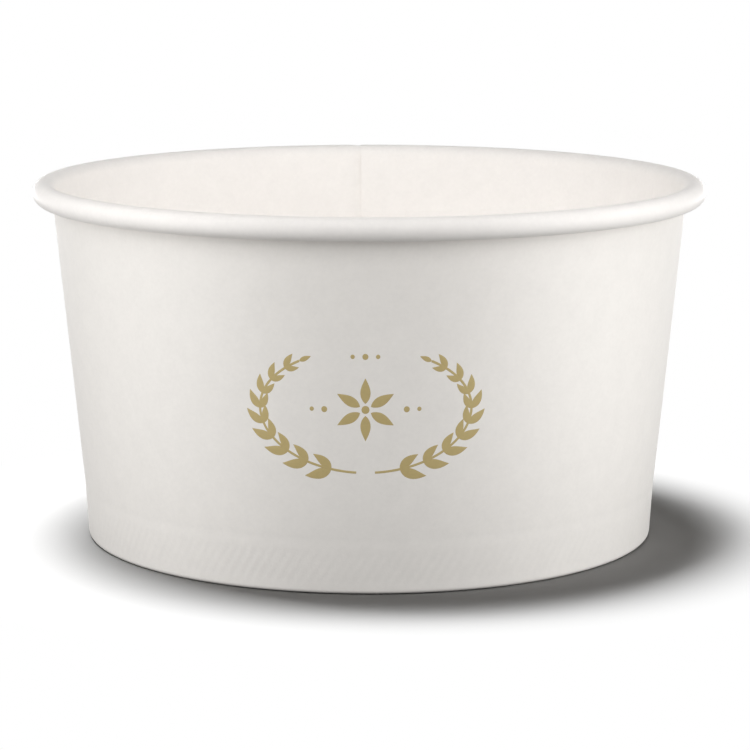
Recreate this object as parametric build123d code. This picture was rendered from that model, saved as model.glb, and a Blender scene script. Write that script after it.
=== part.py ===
"""Paper dessert cup, made as the real one is: a paperboard sidewall wrapped round and lapped at the back,
its top edge curled into a rim and its foot folded up round the skirt of a separate base disc.

Millimetres, +Z up. The cup stands on Z = 0 with its axis on Z, and its side seam is at the back, on +Y.
"""

import os
from math import atan2, cos, degrees, radians, sin, tan

from build123d import *

# Cup, outside sizes
rim_diameter = 87.0  # across the rolled rim
cup_height = 46.3  # standing edge to the top of the rim
foot_diameter = 73.8  # wall at the standing edge
foot_spread = 0.9  # how much wider the wall is at the crease over the base disc

# Board
wall_board = 0.42
base_board = 0.36
glue_line = 0.02  # sealed gap between the base disc's skirt and the plies each side of it

# Rolled rim: bend radii of the board's middle, tightening as the curl goes round
roll_over_radius = 1.25  # top of the rim to its outermost point
roll_under_radius = 1.18  # outermost point to the underside
roll_back_radius = 0.83  # underside, up beside the wall
roll_wall_gap = 0.10  # between the curl and the wall beside it
roll_tuck_gap = 0.30  # between the curl's free edge and the inside of the roll over it

# Foot and base disc
base_recess = 6.6  # standing edge to the underside of the disc
disc_bend_radius = 0.60  # middle of the board where the disc turns down into its skirt
skirt_lift = 0.30  # end of the skirt above the inside of the fold
hem_clearance = 0.80  # free edge of the hem below the disc's bend
crease_bend_radius = 6.0  # wall where it leaves the crimped foot

# Side seam
seam_lap = 8.0  # outer ply over inner ply, along the wall
seam_ramp = 10.0  # length over which the outer ply climbs onto the inner one
seam_squeeze = 0.10  # how far heat and pressure sink the two plies into each other
seam_direction = 90.0  # degrees from +X

RIGHT_ANGLE = 90.0
FULL_TURN = 360.0


def board_face(start, heading, runs, board):
    """Section of a board laid along its middle line, in the XZ plane.

    heading is in degrees from +X towards +Z. A run is a straight length, or a (radius, turn) bend with
    its turn in degrees, positive to the left. The same runs build both faces of the board, and a bend
    about one of its faces leaves that face a sharp corner.
    """
    faces = []
    for left in (board / 2, -board / 2):
        angle = heading
        along = Vector(1, 0).rotate(Axis.Z, angle)
        point = Vector(*start) + along.rotate(Axis.Z, RIGHT_ANGLE) * left
        edges = []
        for run in runs:
            if isinstance(run, tuple):
                radius, turn = run
                inside = left if turn > 0 else -left
                if radius > inside:
                    edges.append(JernArc(point, along, radius - inside, turn))
                angle += turn
                along = Vector(1, 0).rotate(Axis.Z, angle)
            else:
                edges.append(Line(point, point + along * run))
            point = edges[-1] @ 1
        faces.append(edges)
    left_face, right_face = faces
    cut_edges = [
        Line(left_face[0] @ 0, right_face[0] @ 0),
        Line(left_face[-1] @ 1, right_face[-1] @ 1),
    ]
    return Plane.XZ * make_face([*left_face, *right_face, *cut_edges])


def distance(a, b):
    """Straight length between two points of the section."""
    return (Vector(*b) - Vector(*a)).length


# Outer face of the wall: the foot up to the crease, then the side up to the curl that lies beside it
wall_middle = wall_board / 2
roll_top_height = cup_height - wall_middle
roll_bottom_height = roll_top_height - roll_over_radius - roll_under_radius
foot_radius = foot_diameter / 2
crease_radius = foot_radius + foot_spread / 2
crease_height = base_recess + base_board
side_top_radius = rim_diameter / 2 - wall_board - roll_under_radius - roll_back_radius - roll_wall_gap
side_top_height = roll_bottom_height + roll_back_radius
foot_lean = atan2(crease_radius - foot_radius, crease_height)
side_lean = atan2(side_top_radius - crease_radius, side_top_height - crease_height)

# Headings along the section, in degrees
foot_heading = RIGHT_ANGLE - degrees(foot_lean)
side_heading = RIGHT_ANGLE - degrees(side_lean)
hem_heading = foot_heading - 2 * RIGHT_ANGLE
crease_turn = side_heading - foot_heading


def foot_point(depth, height):
    """Point this deep under the outer face of the foot, at this height."""
    return foot_radius + (height * sin(foot_lean) - depth) / cos(foot_lean), height


def side_point(depth, height):
    """Point this deep under the outer face of the side, at this height."""
    rise = height - crease_height
    return crease_radius + (rise * sin(side_lean) - depth) / cos(side_lean), height


# Foot: the hem comes down inside the skirt, turns through two corners pressed sharp inside and meets the wall
skirt_middle = wall_board + glue_line + base_board / 2
hem_middle = skirt_middle + base_board / 2 + glue_line + wall_middle
hem_height = base_recess - (disc_bend_radius - base_board / 2) - hem_clearance
outer_corner = Vector(*foot_point(wall_board, wall_board))
inner_corner = Vector(*foot_point(hem_middle - wall_middle, wall_board))
corner_reach = Vector(cos(foot_lean), -sin(foot_lean)) * wall_middle
hem_start = foot_point(hem_middle, hem_height)
wall_start = outer_corner + corner_reach
foot_runs = [
    distance(hem_start, inner_corner - corner_reach),
    (wall_middle, -hem_heading),
    distance(inner_corner, outer_corner),
    (wall_middle, foot_heading),
]

# Wall: foot, crease and side, up to the rim's first bend, which fills the way from the side to the rim's top
crease_inset = wall_middle / cos((side_lean - foot_lean) / 2)
crease_bisector = (side_lean + foot_lean) / 2
crease_middle = (
    crease_radius - crease_inset * cos(crease_bisector),
    crease_height + crease_inset * sin(crease_bisector),
)
crease_tangent = crease_bend_radius * tan(radians(abs(crease_turn)) / 2)
roll_top_radius = rim_diameter / 2 - wall_middle - roll_over_radius
roll_top_reach = roll_top_radius - side_point(wall_middle, roll_top_height)[0]
roll_out_radius = roll_top_reach / (cos(side_lean) - tan(side_lean) * (1 - sin(side_lean)))
roll_start = (
    roll_top_radius - roll_out_radius * cos(side_lean),
    roll_top_height - roll_out_radius * (1 - sin(side_lean)),
)
roll_tuck_radius = (
    roll_over_radius + roll_under_radius - roll_back_radius - wall_board - roll_tuck_gap
)
crease_runs = [
    distance(wall_start, crease_middle) - crease_tangent,
    (crease_bend_radius, crease_turn),
]
wall_runs = [
    *crease_runs,
    distance(crease_middle, roll_start) - crease_tangent,
    (roll_out_radius, -side_heading),
    (roll_over_radius, -RIGHT_ANGLE),
    (roll_under_radius, -RIGHT_ANGLE),
    (roll_back_radius, -RIGHT_ANGLE),
    (roll_tuck_radius, -RIGHT_ANGLE),
]

# Lap: the outer ply stands out by the step and ends just under the rim
seam_step = wall_board - seam_squeeze
lap_start = wall_start + Vector(seam_step, 0)
lap_top = side_point(wall_middle, roll_bottom_height - wall_middle)
lap_runs = [
    *crease_runs,
    distance(crease_middle, lap_top) - crease_tangent,
]

# Seam from above: the ramp is an arc tangent to the wall, about an axis set back from the cup's own
seam_radius = (crease_radius + side_top_radius) / 2
stepped_radius = seam_radius + seam_step
lap_angle = degrees(seam_lap / seam_radius)
ramp_angle = degrees(seam_ramp / seam_radius)
ramp_axis_shift = (stepped_radius**2 - seam_radius**2) / (
    2 * (seam_radius - stepped_radius * cos(radians(ramp_angle)))
)


def build_sidewall():
    """Wrapped sheet: folded foot, wall and rim, with the outer ply climbing onto the inner one at the back."""
    foot = revolve(board_face(hem_start, hem_heading, foot_runs, wall_board), Axis.Z)
    section = board_face(wall_start, foot_heading, wall_runs, wall_board)
    ramp_start = Rot(0, 0, seam_direction + ramp_angle)
    wrap = ramp_start * revolve(section, Axis.Z, FULL_TURN - ramp_angle)

    # The ramp is turned a little too far, then trimmed where it meets the inner ply's cut edge
    ramp_axis = Axis((-ramp_axis_shift, 0, 0), (0, 0, -1))
    ramp = ramp_start * revolve(section, ramp_axis, ramp_angle)
    seam_plane = Plane.XZ.rotated((0, 0, seam_direction))
    ramp = split(ramp, bisect_by=seam_plane, keep=Keep.BOTTOM)

    lap_section = board_face(lap_start, foot_heading, lap_runs, wall_board)
    lap = Rot(0, 0, seam_direction - lap_angle) * revolve(lap_section, Axis.Z, lap_angle)
    return foot + wrap + ramp + lap


def build_base_disc():
    """Flat disc turned down at its edge into a skirt, which the folded foot grips."""
    disc_middle_height = base_recess + base_board / 2
    bend_height = disc_middle_height - disc_bend_radius
    bend_centre = Vector(*foot_point(skirt_middle + disc_bend_radius, bend_height))
    skirt_top = bend_centre + Vector(cos(foot_lean), -sin(foot_lean)) * disc_bend_radius
    skirt_end = foot_point(skirt_middle, wall_board + skirt_lift)
    runs = [
        bend_centre.X,
        (disc_bend_radius, hem_heading),
        distance(skirt_top, skirt_end),
    ]
    return revolve(board_face((0, disc_middle_height), 0, runs, base_board), Axis.Z)


pieces = {
    "sidewall": build_sidewall(),
    "base_disc": build_base_disc(),
}

os.makedirs("parts", exist_ok=True)
for name, piece in pieces.items():
    export_step(piece, f"parts/{name}.step")
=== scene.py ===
"""A white paper dessert cup on a white studio floor: the wrapped sidewall, the base disc crimped into its
foot and a gold wreath printed on its front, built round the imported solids. Metres, +Z up, seam on +Y.
"""

import bpy
import numpy as np
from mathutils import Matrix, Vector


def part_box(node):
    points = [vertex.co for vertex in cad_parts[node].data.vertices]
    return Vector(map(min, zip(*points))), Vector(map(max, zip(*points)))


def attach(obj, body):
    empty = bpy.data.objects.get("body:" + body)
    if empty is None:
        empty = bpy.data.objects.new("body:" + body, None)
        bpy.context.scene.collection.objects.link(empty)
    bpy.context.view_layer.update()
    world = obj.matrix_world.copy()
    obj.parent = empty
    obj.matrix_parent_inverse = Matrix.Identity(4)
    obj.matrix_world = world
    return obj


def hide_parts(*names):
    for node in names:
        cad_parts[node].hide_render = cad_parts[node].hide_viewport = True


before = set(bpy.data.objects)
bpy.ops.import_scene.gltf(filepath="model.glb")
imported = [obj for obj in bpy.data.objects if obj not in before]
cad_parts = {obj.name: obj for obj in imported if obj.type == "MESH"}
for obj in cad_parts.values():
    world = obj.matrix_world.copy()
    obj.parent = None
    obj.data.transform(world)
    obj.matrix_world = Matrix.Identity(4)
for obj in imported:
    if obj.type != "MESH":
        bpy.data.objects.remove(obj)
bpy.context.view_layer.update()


# Sidewall: one sheet of white paperboard with a thin clear film on its food side, wrapped into a cone.
# Its ends lap in a heat-sealed seam at the back, its top edge is curled outward into the rim, and its
# foot is folded inward and up as a hem, then crimped by a knurled wheel.

MM = 0.001
box_inset = 0.01 * MM  # keeps the sheet just inside the box of the solids
rim_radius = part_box("sidewall")[1].x - box_inset
cup_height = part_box("sidewall")[1].z - box_inset
foot_radius = 36.90 * MM
crease_radius = 37.35 * MM
crease_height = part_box("base_disc")[1].z
wall_board = 0.42 * MM
wall_middle = wall_board / 2
hem_depth = 1.03 * MM  # middle of the hem under the wall's outer face
hem_height = 5.38 * MM
fold_bend = 0.24 * MM  # middle of the board in the two corners of the folded foot
crease_bend = 80.0 * MM

roll_over = 1.25 * MM
roll_under = 1.18 * MM
roll_back = 0.83 * MM
roll_wall_gap = 0.10 * MM
roll_tuck_gap = 0.30 * MM
roll_tuck = roll_over + roll_under - roll_back - wall_board - roll_tuck_gap
side_top_radius = rim_radius - wall_board - roll_under - roll_back - roll_wall_gap
side_top_height = cup_height - wall_middle - roll_over - roll_under + roll_back
foot_lean = np.arctan2(crease_radius - foot_radius, crease_height)
side_lean = np.arctan2(side_top_radius - crease_radius, side_top_height - crease_height)

seam_squeeze = 0.10 * MM  # taken off the two plies by heat and pressure
seam_radius = (crease_radius + side_top_radius) / 2
lap_angle = 8.0 * MM / seam_radius
lap_lift = 0.12 * MM  # lower edge of the lap over the corner of the folded foot
ramp_angle = 10.0 * MM / seam_radius
skived_edge = 0.18 * MM  # thickness left at the inner ply's cut edge
skive_ramp = 1.6 * MM / seam_radius
seam_groove = 0.04 * MM
groove_angle = 0.4 * MM / seam_radius
rim_seam_share = 0.6  # of the seam's step that the curling leaves on the rim

knurl_ridges = 180
knurl_depth = 0.050 * MM
knurl_low = 0.9 * MM
knurl_high = 5.8 * MM
knurl_fade = 0.8 * MM
knurl_slant = np.radians(32)
crease_depth = 0.02 * MM
crease_width = 0.5 * MM
crease_mark_share = 0.5  # of the knurl's darkest mark
wave_height = 0.05 * MM  # slow unevenness of the paper wall


def smooth_step(x):
    """Ease from 0 to 1 as x goes from 0 to 1, flat at both ends: 3x^2 - 2x^3."""
    x = np.clip(x, 0, 1)
    return x * x * (3 - 2 * x)


def foot_point(depth, height):
    """Point this deep under the outer face of the foot, at this height."""
    return np.array([foot_radius + (height * np.sin(foot_lean) - depth) / np.cos(foot_lean), height])


def side_point(depth, height):
    """Point this deep under the outer face of the side, at this height."""
    rise = height - crease_height
    return np.array([crease_radius + (rise * np.sin(side_lean) - depth) / np.cos(side_lean), height])


def board_line(start, heading, runs):
    """Middle line of a bent board: straight runs (length, rows) and bends (radius, turn, rows) in order.

    A straight run goes along the heading. A bend is an arc tangent to it, its turn positive to the left.
    Returns the rows' points and their normals, which point to the right of the way along.
    """
    point, angle = np.array(start, float), heading
    points, angles = [point[None]], [[angle]]
    for run in runs:
        if len(run) == 2:
            length, rows = run
            way = np.array([np.cos(angle), np.sin(angle)])
            points.append(point + np.linspace(0, length, rows + 1)[1:, None] * way)
            angles.append(np.full(rows, angle))
        else:
            radius, turn, rows = run
            swing = angle + np.linspace(0, turn, rows + 1)
            arms = np.sign(turn) * radius * np.stack([np.sin(swing), -np.cos(swing)], 1)
            points.append(point + arms[1:] - arms[0])
            angles.append(swing[1:])
        point, angle = points[-1][-1], angles[-1][-1]
    angles = np.concatenate(angles)
    return np.concatenate(points), np.stack([np.sin(angles), -np.cos(angles)], 1)


def wall_wave(turn, height):
    """Slow unevenness of the wall: five and eight sine waves round the cup, strongest at half height."""
    rounds = 0.6 * np.sin(5 * turn + 0.7) + 0.4 * np.sin(8 * turn + 40 * height)
    return wave_height * rounds * np.sin(np.pi * np.clip(height / cup_height, 0, 1)) ** 2


def knurl(turn, height):
    """Pressing of the knurled wheel, 0 to 1: slanted cosine ridges on the foot, uneven round the cup."""
    ridge = 0.5 + 0.5 * np.cos(knurl_ridges * (turn + height * np.tan(knurl_slant) / foot_radius))
    uneven = 0.60 + 0.28 * np.sin(2 * turn + 0.9) + 0.12 * np.sin(11 * turn)
    fade = smooth_step((height - knurl_low) / knurl_fade) * smooth_step((knurl_high - height) / knurl_fade)
    return ridge * uneven * fade


def crease(height):
    """Pressing of the crease over the base disc, 0 to 1: a bell curve in height."""
    return np.exp(-(((height - crease_height) / crease_width) ** 2))


# Section of the sheet: hem, folded foot, wall and curled rim, as straight runs and tangent bends
right_angle = np.pi / 2
foot_heading = right_angle - foot_lean
side_heading = right_angle - side_lean
outer_corner = foot_point(wall_board, wall_board)
inner_corner = foot_point(hem_depth - wall_middle, wall_board)
corner_reach = wall_middle * np.array([np.cos(foot_lean), -np.sin(foot_lean)])
hem_start = foot_point(hem_depth, hem_height)
hem_length = np.linalg.norm(hem_start - inner_corner + corner_reach)
fold_spread = fold_bend - wall_middle
inner_spread = fold_spread * np.tan((right_angle + foot_lean) / 2)
outer_spread = fold_spread * np.tan(foot_heading / 2)
crease_inset = wall_middle / np.cos((side_lean - foot_lean) / 2)
crease_lean = (side_lean + foot_lean) / 2
crease_middle = np.array([crease_radius, crease_height]) - crease_inset * np.array(
    [np.cos(crease_lean), -np.sin(crease_lean)]
)
crease_tangent = crease_bend * np.tan((side_lean - foot_lean) / 2)
roll_top = np.array([rim_radius - wall_middle - roll_over, cup_height - wall_middle])
roll_reach = roll_top[0] - side_point(wall_middle, roll_top[1])[0]
roll_out = roll_reach / (np.cos(side_lean) - np.tan(side_lean) * (1 - np.sin(side_lean)))
roll_start = roll_top - roll_out * np.array([np.cos(side_lean), 1 - np.sin(side_lean)])
foot_length = np.linalg.norm(crease_middle - outer_corner - corner_reach)
side_length = np.linalg.norm(roll_start - crease_middle) - crease_tangent

hem_rows = 2
corner_rows = 4
standing_rows = 1
lap_edge_rows = 1
foot_rows = 13
crease_rows = 4
side_rows = 7
out_rows = 7
over_rows = 6
under_rows = 6
back_rows = 4
tuck_rows = 3
section, outward = board_line(
    hem_start,
    foot_heading - np.pi,
    [
        (hem_length - inner_spread, hem_rows),
        (fold_bend, right_angle + foot_lean, corner_rows),
        (outer_corner[0] - inner_corner[0] - inner_spread - outer_spread, standing_rows),
        (fold_bend, foot_heading, corner_rows),
        (lap_lift, lap_edge_rows),
        (foot_length - outer_spread - lap_lift - crease_tangent, foot_rows),
        (crease_bend, foot_lean - side_lean, crease_rows),
        (side_length, side_rows),
        (roll_out, -side_heading, out_rows),
        (roll_over, -right_angle, over_rows),
        (roll_under, -right_angle, under_rows),
        (roll_back, -right_angle, back_rows),
        (roll_tuck, -right_angle, tuck_rows),
    ],
)
rows = len(section)
wall_first = 1 + hem_rows + corner_rows + standing_rows + corner_rows
rim_first = wall_first + lap_edge_rows + foot_rows + crease_rows + side_rows
on_wall = (np.arange(rows) >= wall_first) & (np.arange(rows) < rim_first)

# Share of the seam's step that each row takes: none in the folded foot, all on the wall, less on the rim
seam_share = np.where(on_wall, 1.0, 0.0)
seam_share[rim_first:] = rim_seam_share

columns_per_ridge = 4
lap_columns = 26
turns = np.linspace(0, 2 * np.pi, knurl_ridges * columns_per_ridge + 1)
lap_turns = 2 * np.pi + np.linspace(0, lap_angle, lap_columns + 1)[1:]


def sheet_faces(turn):
    """Food side and outer side of the sheet and how far the outer side is pressed, by turn and by row.

    Each row is moved from the board's middle along its normal by half the board. The inner ply is skived
    at its cut edge, where the turn starts, and grows to the full board over the lap. The sheet's other end
    sinks behind that edge in a short ramp and a groove, lies on the inner ply over the lap, and on its
    outer side climbs by the board less the squeeze.
    """
    turn = turn[:, None]
    height = section[:, 1] * np.ones_like(turn)
    past_seam = turn - 2 * np.pi
    lapped = smooth_step(np.where(past_seam > 0, past_seam, turn) / lap_angle)
    inner_ply = skived_edge + (wall_board - skived_edge) * lapped
    sunk = skived_edge * smooth_step(1 + past_seam / skive_ramp)
    sunk = np.where(past_seam > 0, inner_ply, sunk) + seam_groove * np.exp(-((past_seam / groove_angle) ** 2))
    thinned = np.where(past_seam < 0, wall_board - inner_ply, 0)
    climb = (wall_board - seam_squeeze) * smooth_step(1 + past_seam / ramp_angle)
    wave = wall_wave(turn, height) * on_wall
    pressed = np.maximum(knurl(turn, height), crease_mark_share * crease(height)) * on_wall
    inner = -wall_middle + sunk * seam_share + wave
    outer = wall_middle + (climb - thinned) * seam_share + wave
    outer -= (knurl_depth * knurl(turn, height) + crease_depth * crease(height)) * on_wall
    angle = right_angle - turn
    sides = []
    for offset in (inner, outer):
        radius = section[:, 0] + offset * outward[:, 0]
        rise = section[:, 1] + offset * outward[:, 1]
        sides.append(np.stack([radius * np.cos(angle), radius * np.sin(angle), rise], axis=2))
    return *sides, pressed


def quads(first, second, third, fourth):
    """Faces from four equal arrays of point numbers, each array giving one corner in order."""
    return np.stack([first.ravel(), second.ravel(), third.ravel(), fourth.ravel()], 1)


def grid_quads(numbers):
    """Faces between neighbouring rows and columns of a grid of point numbers."""
    return quads(numbers[:-1, :-1], numbers[1:, :-1], numbers[1:, 1:], numbers[:-1, 1:])


def edge_quads(one, other):
    """Faces between two lines of point numbers that run side by side."""
    return quads(one[:-1], one[1:], other[1:], other[:-1])


def build_sheet():
    """Points, faces, film and pressed values of the wrapped sheet: two sides joined by its cut edges.

    The whole section goes once round. The lap goes on from there with the wall's rows alone.
    """
    main_inner, main_outer, main_pressed = sheet_faces(turns)
    lap_inner, lap_outer, lap_pressed = sheet_faces(lap_turns)
    lap_rows = np.flatnonzero(on_wall)
    count = len(turns) * rows
    lap_count = len(lap_turns) * len(lap_rows)
    points = np.concatenate(
        [
            main_inner.reshape(-1, 3),
            main_outer.reshape(-1, 3),
            lap_inner[:, lap_rows].reshape(-1, 3),
            lap_outer[:, lap_rows].reshape(-1, 3),
        ]
    )
    inner = np.arange(count).reshape(len(turns), rows)
    outer = inner + count
    lap_numbers = np.arange(lap_count).reshape(len(lap_turns), len(lap_rows)) + 2 * count
    tongue_inner = np.concatenate([inner[-1:, lap_rows], lap_numbers])
    tongue_outer = np.concatenate([outer[-1:, lap_rows], lap_numbers + lap_count])
    below, above = lap_rows[0], lap_rows[-1]
    faces = [
        grid_quads(inner),
        grid_quads(outer.T),
        edge_quads(inner[:, 0], outer[:, 0])[:, ::-1],
        edge_quads(inner[:, -1], outer[:, -1]),
        edge_quads(inner[0], outer[0]),
        edge_quads(inner[-1, : below + 1], outer[-1, : below + 1])[:, ::-1],
        edge_quads(inner[-1, above:], outer[-1, above:])[:, ::-1],
        grid_quads(tongue_inner),
        grid_quads(tongue_outer.T),
        edge_quads(tongue_inner[:, 0], tongue_outer[:, 0])[:, ::-1],
        edge_quads(tongue_inner[:, -1], tongue_outer[:, -1]),
        edge_quads(tongue_inner[-1], tongue_outer[-1])[:, ::-1],
    ]
    film = np.zeros(len(points))
    film[:count] = 1
    film[2 * count : 2 * count + lap_count] = 1
    pressed = np.zeros(len(points))
    pressed[count : 2 * count] = main_pressed.ravel()
    pressed[2 * count + lap_count :] = lap_pressed[:, lap_rows].ravel()
    return points, faces, film, pressed


def make_piece(name, points, faces, material, **values):
    """Object at the origin with these points and faces, smooth but for its sharp edges, with one material.

    Each further value is an array with a number for every point, kept as an attribute of that name.
    """
    sharp_angle = np.radians(50)
    mesh = bpy.data.meshes.new(name)
    mesh.from_pydata(points.tolist(), [], [face for group in faces for face in group.tolist()])
    mesh.validate()
    mesh.shade_smooth()
    mesh.set_sharp_from_angle(angle=sharp_angle)
    mesh.materials.append(material)
    for value_name, value in values.items():
        mesh.attributes.new(value_name, "FLOAT", "POINT").data.foreach_set("value", value)
    piece = bpy.data.objects.new(name, mesh)
    bpy.context.scene.collection.objects.link(piece)
    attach(piece, "root")
    return piece


def map_range(nodes, links, value, low, high, start=0.0, end=1.0):
    """Socket with the value carried from start..end to low..high, in a straight line."""
    node = nodes.new("ShaderNodeMapRange")
    node.inputs["From Min"].default_value = start
    node.inputs["From Max"].default_value = end
    node.inputs["To Min"].default_value = low
    node.inputs["To Max"].default_value = high
    links.new(value, node.inputs["Value"])
    return node.outputs["Result"]


def combine(nodes, links, operation, one, other):
    """Socket with the sum or product of two values, by the operation's name, held between 0 and 1."""
    node = nodes.new("ShaderNodeMath")
    node.operation = operation
    node.use_clamp = True
    links.new(one, node.inputs[0])
    links.new(other, node.inputs[1])
    return node.outputs["Value"]


def noise(nodes, links, scale, detail, roughness=0.5):
    """Socket with noise of this many waves a metre, on the piece's own coordinates."""
    place = nodes.new("ShaderNodeTexCoord")
    node = nodes.new("ShaderNodeTexNoise")
    node.inputs["Scale"].default_value = scale
    node.inputs["Detail"].default_value = detail
    node.inputs["Roughness"].default_value = roughness
    links.new(place.outputs["Object"], node.inputs["Vector"])
    return node.outputs["Fac"]


def attribute(nodes, name):
    """Socket with a point attribute of the piece."""
    node = nodes.new("ShaderNodeAttribute")
    node.attribute_name = name
    return node.outputs["Fac"]


def paper_board(name, shade, film_shade):
    """White board: cloudy formation and fine grain from noise, matt where bare and satin under the film.

    The point attribute "film" is 1 on the coated side and 0 on the bare side, and "pressed" is 1 where
    a tool has pressed the board hardest, which leaves it a little darker.
    """
    tooth_depth = 0.03 * MM
    material = bpy.data.materials.new(name)
    material.use_nodes = True
    nodes, links = material.node_tree.nodes, material.node_tree.links
    shader = nodes["Principled BSDF"]
    shader.inputs["Specular IOR Level"].default_value = 0.25
    film = attribute(nodes, "film")
    cloud = noise(nodes, links, scale=420, detail=4)
    grain = noise(nodes, links, scale=1900, detail=3, roughness=0.6)

    board = nodes.new("ShaderNodeMix")
    board.data_type = "RGBA"
    board.inputs["A"].default_value = (*shade, 1)
    board.inputs["B"].default_value = (*film_shade, 1)
    links.new(film, board.inputs["Factor"])
    mottle = map_range(nodes, links, cloud, low=0.975, high=1.0, start=0.3, end=0.7)
    fleck = map_range(nodes, links, grain, low=0.97, high=1.0, start=0.3, end=0.7)
    dent = map_range(nodes, links, attribute(nodes, "pressed"), low=1.0, high=0.96)
    tone = combine(nodes, links, "MULTIPLY", combine(nodes, links, "MULTIPLY", mottle, fleck), dent)
    colour = nodes.new("ShaderNodeVectorMath")
    colour.operation = "SCALE"
    links.new(board.outputs["Result"], colour.inputs["Vector"])
    links.new(tone, colour.inputs["Scale"])
    links.new(colour.outputs["Vector"], shader.inputs["Base Color"])
    links.new(map_range(nodes, links, film, low=0.55, high=0.50), shader.inputs["Roughness"])

    tooth = nodes.new("ShaderNodeBump")
    tooth.inputs["Strength"].default_value = 0.35
    tooth.inputs["Distance"].default_value = tooth_depth
    links.new(grain, tooth.inputs["Height"])
    links.new(tooth.outputs["Normal"], shader.inputs["Normal"])
    return material


board_white = (0.90, 0.87, 0.83)
film_white = (0.91, 0.88, 0.85)
sheet_points, sheet_quads, sheet_film, sheet_pressed = build_sheet()
sidewall = make_piece(
    "wrapped_sidewall",
    sheet_points,
    sheet_quads,
    paper_board("sidewall_paper", board_white, film_white),
    film=sheet_film,
    pressed=sheet_pressed,
)
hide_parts("sidewall")


# Base disc: a separate round of the same board, its edge turned down into a skirt that sits between the
# wall and the hem. The crimp stretches it, so that its middle hangs a little.

base_board = 0.36 * MM
base_middle = base_board / 2
glue_line = 0.02 * MM
disc_bend = 0.60 * MM
disc_sag = 0.18 * MM
skirt_depth = wall_board + glue_line + base_middle
skirt_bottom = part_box("base_disc")[0].z
disc_height = crease_height - base_middle
bend_centre = foot_point(skirt_depth + disc_bend, disc_height - disc_bend)
skirt_top = bend_centre + disc_bend * np.array([np.cos(foot_lean), -np.sin(foot_lean)])
skirt_length = (skirt_top[1] - skirt_bottom) / np.cos(foot_lean)
pole_ring_share = 1 / 12  # of the flat's radius: first ring round the poles
flat_rows = 14
bend_rows = 7
skirt_rows = 5
disc_columns = 240


def build_disc():
    """Points, faces and film values of the disc: its section turned round the axis, closed by two poles.

    The flat sags by the square of one less the square of its share of the radius.
    """
    first = bend_centre[0] * pole_ring_share
    line, normal = board_line(
        (first, disc_height),
        0,
        [
            (bend_centre[0] - first, flat_rows),
            (disc_bend, -right_angle - foot_lean, bend_rows),
            (skirt_length, skirt_rows),
        ],
    )
    sag = disc_sag * (1 - np.clip(line[:, 0] / bend_centre[0], 0, 1) ** 2) ** 2
    line = line - np.stack([0 * sag, sag], 1)
    outline = np.concatenate([line - normal * base_middle, (line + normal * base_middle)[::-1]])
    angle = np.linspace(0, 2 * np.pi, disc_columns, endpoint=False)[:, None]
    ring = np.stack(
        [outline[:, 0] * np.cos(angle), outline[:, 0] * np.sin(angle), outline[:, 1] * np.ones_like(angle)],
        axis=2,
    )
    pole_height = disc_height - disc_sag
    poles = np.array([[0, 0, pole_height + base_middle], [0, 0, pole_height - base_middle]])
    points = np.concatenate([ring.reshape(-1, 3), poles])
    numbers = np.arange(ring.shape[0] * ring.shape[1]).reshape(ring.shape[:2])
    around = np.concatenate([numbers, numbers[:1]])
    top_pole = np.full(disc_columns, len(points) - 2)
    under_pole = np.full(disc_columns, len(points) - 1)
    faces = [
        grid_quads(around.T),
        np.stack([top_pole, around[:-1, 0], around[1:, 0]], 1),
        np.stack([under_pole, around[1:, -1], around[:-1, -1]], 1),
    ]
    film = np.zeros(len(points))
    film[numbers[:, : len(line)].ravel()] = 1
    film[-2] = 1
    return points, faces, film


disc_points, disc_quads, disc_film = build_disc()
base_disc = make_piece(
    "crimped_base_disc",
    disc_points,
    disc_quads,
    paper_board("base_disc_paper", board_white, film_white),
    film=disc_film,
)
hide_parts("base_disc")


# Gold print: an ornament of two leafy sprigs round a six-petalled flower, printed in flat gold ink on the
# sheet before it is wrapped. Each leaf, petal, stem and dot is a thin cushion of ink that lies on the wall.

print_middle = 22.8 * MM  # above the floor
print_direction = np.radians(-92.3)
ink_gold = (0.47, 0.37, 0.165)
ink_height = 0.012 * MM
ink_full_width = 0.1 * MM  # half width from which the ink has its full height
ink_end_width = 0.02 * MM  # half width left at a leaf's two ends
ink_around = 10
ink_along = 15

sprig_width = 12.8 * MM
sprig_height = 7.6 * MM
sprig_start = np.radians(-85)
sprig_end = np.radians(52)
stem_half_width = 0.15 * MM
stem_parts = 8
leaf_places = np.linspace(0.10, 0.92, 9)
leaf_length = 3.3 * MM
leaf_width_share = 0.19  # half width, of the leaf's length
last_leaf_share = 0.62  # of the first leaf's length
inner_leaf_share = 0.85  # of the length of the leaf across the stem
tip_leaf_share = 0.75  # of the last leaf's length
leaf_lift = np.radians(42)
leaf_curl = np.radians(28)

petal_count = 6
petal_length = 3.1 * MM
petal_start = 0.75 * MM
flower_middle = np.array([0, 0.2]) * MM
flower_dot = 0.48 * MM
side_dots = np.array([[4.9, 0.2], [6.4, 0.2], [1.5, 6.7]]) * MM
side_dot_radii = np.array([0.36, 0.26, 0.26]) * MM
top_dot_middle = np.array([0, 6.7]) * MM
top_dot = 0.36 * MM


def sprig_stem(along):
    """Point and heading on a sprig's stem: an arc of an ellipse from below the flower, round and up."""
    angle = sprig_start + (sprig_end - sprig_start) * along
    point = np.stack([sprig_width * np.cos(angle), sprig_height * np.sin(angle)], -1)
    return point, np.arctan2(sprig_height * np.cos(angle), -sprig_width * np.sin(angle))


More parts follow.
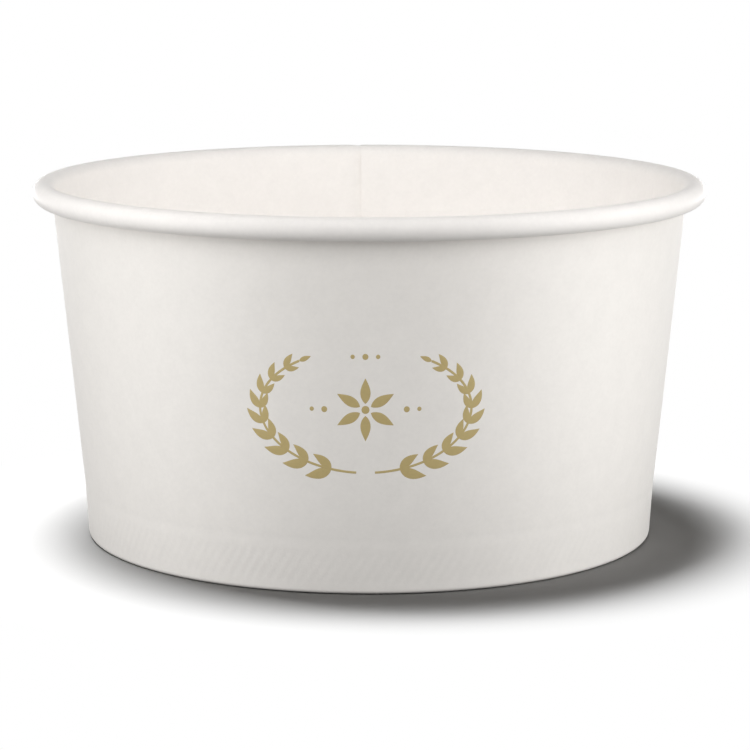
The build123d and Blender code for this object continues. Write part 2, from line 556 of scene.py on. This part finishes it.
def leaves(base, heading, length, curl):
    """Centre lines and half widths of leaves: each starts at its base and turns evenly by its curl.

    The half width is a sine that swells before the middle of the leaf and comes to a point.
    """
    along = np.linspace(0, 1, ink_along)
    way = heading[:, None] + curl[:, None] * along / 2
    reach = length[:, None] * along
    line = base[:, None] + np.stack([reach * np.cos(way), reach * np.sin(way)], -1)
    return line, leaf_width_share * length[:, None] * np.sin(np.pi * along**0.8) + ink_end_width


def dots(middle, radius):
    """Centre lines and half widths of round dots: half width is the circle's own half chord."""
    along = np.linspace(-1, 1, ink_along)
    line = middle[:, None] + radius[:, None, None] * np.stack([along, 0 * along], -1)
    return line, radius[:, None] * np.sqrt(1 - along**2) + ink_end_width / 2


def print_strokes():
    """Every stroke of the print, flat, from the print's middle: centre lines and half widths.

    The right half is a sprig with a leaf each side of its stem at every place, and its dots. The left half
    mirrors it, and the flower and its dots are in the middle.
    """
    base, heading = sprig_stem(leaf_places)
    shorter = np.linspace(1, last_leaf_share, len(leaf_places)) * leaf_length
    curl = np.full_like(heading, leaf_curl)
    tip, tip_heading = sprig_stem(np.ones(1))
    stem_ends = np.linspace(0, 1, stem_parts + 1)
    stem = sprig_stem(np.linspace(stem_ends[:-1], stem_ends[1:], ink_along, axis=1))[0]
    right_half = [
        leaves(base, heading - leaf_lift, shorter, curl),
        leaves(base, heading + leaf_lift, inner_leaf_share * shorter, -curl),
        leaves(tip, tip_heading, tip_leaf_share * shorter[-1:], 0 * tip_heading),
        (stem, np.full((stem_parts, ink_along), stem_half_width)),
        dots(side_dots, side_dot_radii),
    ]
    petal_heading = np.linspace(0, 2 * np.pi, petal_count, endpoint=False) + right_angle
    petal_base = petal_start * np.stack([np.cos(petal_heading), np.sin(petal_heading)], -1) + flower_middle
    middle = [
        leaves(petal_base, petal_heading, np.full(petal_count, petal_length), 0 * petal_heading),
        dots(np.stack([flower_middle, top_dot_middle]), np.array([flower_dot, top_dot])),
    ]
    lines = [line for line, width in right_half + middle] + [line * [-1, 1] for line, width in right_half]
    widths = [width for line, width in right_half + middle] + [width for line, width in right_half]
    return np.concatenate(lines), np.concatenate(widths)


def build_print():
    """Points and faces of the print: flat oval tubes round the strokes, rolled onto the wall's cone.

    The flat sheet keeps its lengths on the cone: a point's distance from the cone's tip stays, and its
    angle about the tip is divided by the sine of the cone's lean. Half of each tube is under the surface.
    """
    line, half_width = print_strokes()
    way = np.gradient(line, axis=1)
    way /= np.linalg.norm(way, axis=2, keepdims=True)
    across = np.stack([-way[..., 1], way[..., 0]], -1)
    around = np.linspace(0, 2 * np.pi, ink_around, endpoint=False)
    flat = line[:, :, None] + across[:, :, None] * (half_width[..., None] * np.cos(around))[..., None]
    proud = ink_height * np.sin(around) * np.minimum(half_width[..., None] / ink_full_width, 1)

    tip_distance = side_point(0, print_middle)[0] / np.sin(side_lean)
    from_tip = np.hypot(flat[..., 0], tip_distance + flat[..., 1])
    angle = print_direction + np.arctan2(flat[..., 0], tip_distance + flat[..., 1]) / np.sin(side_lean)
    height = print_middle + (from_tip - tip_distance) * np.cos(side_lean)
    proud = proud + wall_wave(right_angle - angle, height)
    radius = from_tip * np.sin(side_lean) + proud * np.cos(side_lean)
    height = height - proud * np.sin(side_lean)
    points = np.stack([radius * np.cos(angle), radius * np.sin(angle), height], -1)

    numbers = np.arange(angle.size).reshape(angle.shape)
    ring = np.concatenate([numbers, numbers[:, :, :1]], axis=2)
    faces = [
        quads(ring[:, :-1, :-1], ring[:, :-1, 1:], ring[:, 1:, 1:], ring[:, 1:, :-1]),
        numbers[:, 0, ::-1],
        numbers[:, -1],
    ]
    return points.reshape(-1, 3), faces


def gold_ink():
    """Flat gold ink: satin, a little uneven where the board took it up, with a faint metallic lift."""
    material = bpy.data.materials.new("gold_ink")
    material.use_nodes = True
    nodes, links = material.node_tree.nodes, material.node_tree.links
    shader = nodes["Principled BSDF"]
    shader.inputs["Specular IOR Level"].default_value = 0.4
    shader.inputs["Metallic"].default_value = 0.1
    uptake = noise(nodes, links, scale=2400, detail=3)
    tint = nodes.new("ShaderNodeMix")
    tint.data_type = "RGBA"
    tint.inputs["A"].default_value = (*(0.93 * value for value in ink_gold), 1)
    tint.inputs["B"].default_value = (*(1.07 * value for value in ink_gold), 1)
    links.new(uptake, tint.inputs["Factor"])
    links.new(tint.outputs["Result"], shader.inputs["Base Color"])
    links.new(map_range(nodes, links, uptake, low=0.42, high=0.58), shader.inputs["Roughness"])
    return material


print_points, print_faces = build_print()
gold_print = make_piece("gold_print", print_points, print_faces, gold_ink())


# Studio: a white floor under one soft lamp, which gives the cup its shadow. Soft boxes over, round and
# behind the cup, and a small one in it, are flagged off the floor. The camera stands in front, a little
# above the rim.

view_turn = np.radians(-1.65)
camera_reach = 381.3 * MM
camera_height = 88.8 * MM
camera_pitch = 0.178  # radians, downward
lens_pixels = 2950
image_pixels = 750
axis_pixel = 369.2

camera_data = bpy.data.cameras.new("camera")
camera_data.sensor_width = 36
camera_data.lens = camera_data.sensor_width * lens_pixels / image_pixels
camera_data.shift_x = 0.5 - axis_pixel / image_pixels
camera_data.clip_start = 0.01
camera = bpy.data.objects.new("camera", camera_data)
camera.location = (
    camera_reach * np.sin(view_turn),
    -camera_reach * np.cos(view_turn),
    camera_height,
)
camera.rotation_euler = (right_angle - camera_pitch, 0, view_turn)
bpy.context.scene.collection.objects.link(camera)
bpy.context.scene.camera = camera

floor_reach = 3.0
shadow_reach = 42 * MM  # from the cup's axis: the floor shows the lamp's light and shadow as they are
plain_reach = 66 * MM  # and from here on it is plain white
floor_grey = 0.45  # white under the floor's lamp
bounce_grey = 0.055
room_light = 0.02


def grey(value):
    """Colour with its three channels alike."""
    return (value, value, value, 1)


def seen_by_eye(nodes, links):
    """Socket that is 1 where the eye sees a surface, directly, mirrored or through glass, and otherwise 0."""
    path = nodes.new("ShaderNodeLightPath")
    seen = combine(nodes, links, "ADD", path.outputs["Is Camera Ray"], path.outputs["Is Glossy Ray"])
    return combine(nodes, links, "ADD", seen, path.outputs["Is Transmission Ray"])


def white_floor():
    """Square floor: white to the eye with the lamp's shadow near the cup, and plain white further out.

    Light that bounces from it onto the cup sees a grey floor, as the flags round the set would give.
    """
    mesh = bpy.data.meshes.new("floor")
    corners = floor_reach * np.array([[-1, -1, 0], [1, -1, 0], [1, 1, 0], [-1, 1, 0]])
    mesh.from_pydata(corners.tolist(), [], [(0, 1, 2, 3)])
    material = bpy.data.materials.new("floor_white")
    material.use_nodes = True
    nodes, links = material.node_tree.nodes, material.node_tree.links
    nodes.remove(nodes["Principled BSDF"])

    place = nodes.new("ShaderNodeTexCoord")
    distance = nodes.new("ShaderNodeVectorMath")
    distance.operation = "LENGTH"
    links.new(place.outputs["Object"], distance.inputs[0])
    plainness = map_range(
        nodes, links, distance.outputs["Value"], low=0.0, high=1.0, start=shadow_reach, end=plain_reach
    )
    plainness.node.interpolation_type = "SMOOTHSTEP"

    bounce = nodes.new("ShaderNodeBsdfDiffuse")
    bounce.inputs["Color"].default_value = grey(bounce_grey)
    shaded = nodes.new("ShaderNodeBsdfDiffuse")
    shaded.inputs["Color"].default_value = grey(floor_grey)
    plain = nodes.new("ShaderNodeEmission")
    plain.inputs["Color"].default_value = grey(1)
    to_the_eye = nodes.new("ShaderNodeMixShader")
    links.new(plainness, to_the_eye.inputs["Fac"])
    links.new(shaded.outputs["BSDF"], to_the_eye.inputs[1])
    links.new(plain.outputs["Emission"], to_the_eye.inputs[2])
    choice = nodes.new("ShaderNodeMixShader")
    links.new(seen_by_eye(nodes, links), choice.inputs["Fac"])
    links.new(bounce.outputs["BSDF"], choice.inputs[1])
    links.new(to_the_eye.outputs["Shader"], choice.inputs[2])
    links.new(choice.outputs["Shader"], nodes["Material Output"].inputs["Surface"])
    mesh.materials.append(material)
    floor = bpy.data.objects.new("floor", mesh)
    bpy.context.scene.collection.objects.link(floor)
    return floor


floor = white_floor()
lit_floor = bpy.data.collections.new("lit_floor")
lit_floor.objects.link(floor)
lit_cup = bpy.data.collections.new("lit_cup")
for piece in (sidewall, base_disc, gold_print):
    lit_cup.objects.link(piece)


def soft_box(name, receivers, turn, lift, reach, width, height, watts):
    """Flat lamp that faces the cup's middle and lights only the receivers.

    Its turn, to the right of the camera, and its lift are in degrees, and its reach is from the cup's middle.
    """
    light = bpy.data.lights.new(name, "AREA")
    light.shape = "RECTANGLE"
    light.size = width
    light.size_y = height
    light.energy = watts
    lamp = bpy.data.objects.new(name, light)
    turn, lift = np.radians(turn), np.radians(lift)
    away = np.array([np.cos(lift) * np.sin(turn), -np.cos(lift) * np.cos(turn), np.sin(lift)])
    lamp.location = reach * away + [0, 0, cup_height / 2]
    lamp.rotation_euler = (right_angle - lift, 0, turn)
    bpy.context.scene.collection.objects.link(lamp)
    lamp.visible_camera = False
    lamp.light_linking.receiver_collection = receivers


# Boxes in front, over and beside the cup, two near its wall, one in it, and strips behind it below the rim
far = 0.42
near = 0.115
behind = 0.36
strip = 0.044
soft_box("floor_lamp", lit_floor, turn=-125, lift=81, reach=0.90, width=0.30, height=0.30, watts=21)
soft_box("front_box", lit_cup, turn=0, lift=34, reach=far, width=0.25, height=0.27, watts=0.615)
soft_box("top_box", lit_cup, turn=0, lift=86, reach=far, width=0.30, height=0.30, watts=0.54)
soft_box("left_box", lit_cup, turn=-80, lift=17, reach=far, width=0.25, height=0.20, watts=0.23)
soft_box("left_high_box", lit_cup, turn=-66, lift=34, reach=far, width=0.22, height=0.22, watts=0.32)
soft_box("left_near_box", lit_cup, turn=-50, lift=5, reach=near, width=0.06, height=0.06, watts=0.0333)
soft_box("right_box", lit_cup, turn=80, lift=17, reach=far, width=0.25, height=0.20, watts=0.57)
soft_box("right_near_box", lit_cup, turn=49, lift=3, reach=near, width=0.05, height=0.06, watts=0.0358)
soft_box("inside_card", lit_cup, turn=0, lift=-90, reach=0.0131, width=0.05, height=0.05, watts=0.0102)
soft_box("left_back_strip", lit_cup, turn=-150, lift=0, reach=behind, width=0.30, height=strip, watts=0.22)
soft_box("back_strip", lit_cup, turn=180, lift=0, reach=behind, width=0.30, height=strip, watts=0.48)
soft_box("right_back_strip", lit_cup, turn=150, lift=0, reach=behind, width=0.30, height=strip, watts=0.22)

# Room: white to the eye, with little light of its own
world = bpy.data.worlds.new("studio")
bpy.context.scene.world = world
world.use_nodes = True
world_nodes, world_links = world.node_tree.nodes, world.node_tree.links
backdrop = world_nodes["Background"]
backdrop.inputs["Color"].default_value = grey(1)
room = world_nodes.new("ShaderNodeBackground")
room.inputs["Color"].default_value = grey(1)
room.inputs["Strength"].default_value = room_light
world_choice = world_nodes.new("ShaderNodeMixShader")
world_links.new(seen_by_eye(world_nodes, world_links), world_choice.inputs["Fac"])
world_links.new(room.outputs["Background"], world_choice.inputs[1])
world_links.new(backdrop.outputs["Background"], world_choice.inputs[2])
world_links.new(world_choice.outputs["Shader"], world_nodes["World Output"].inputs["Surface"])
bpy.context.scene.view_settings.view_transform = "Standard"
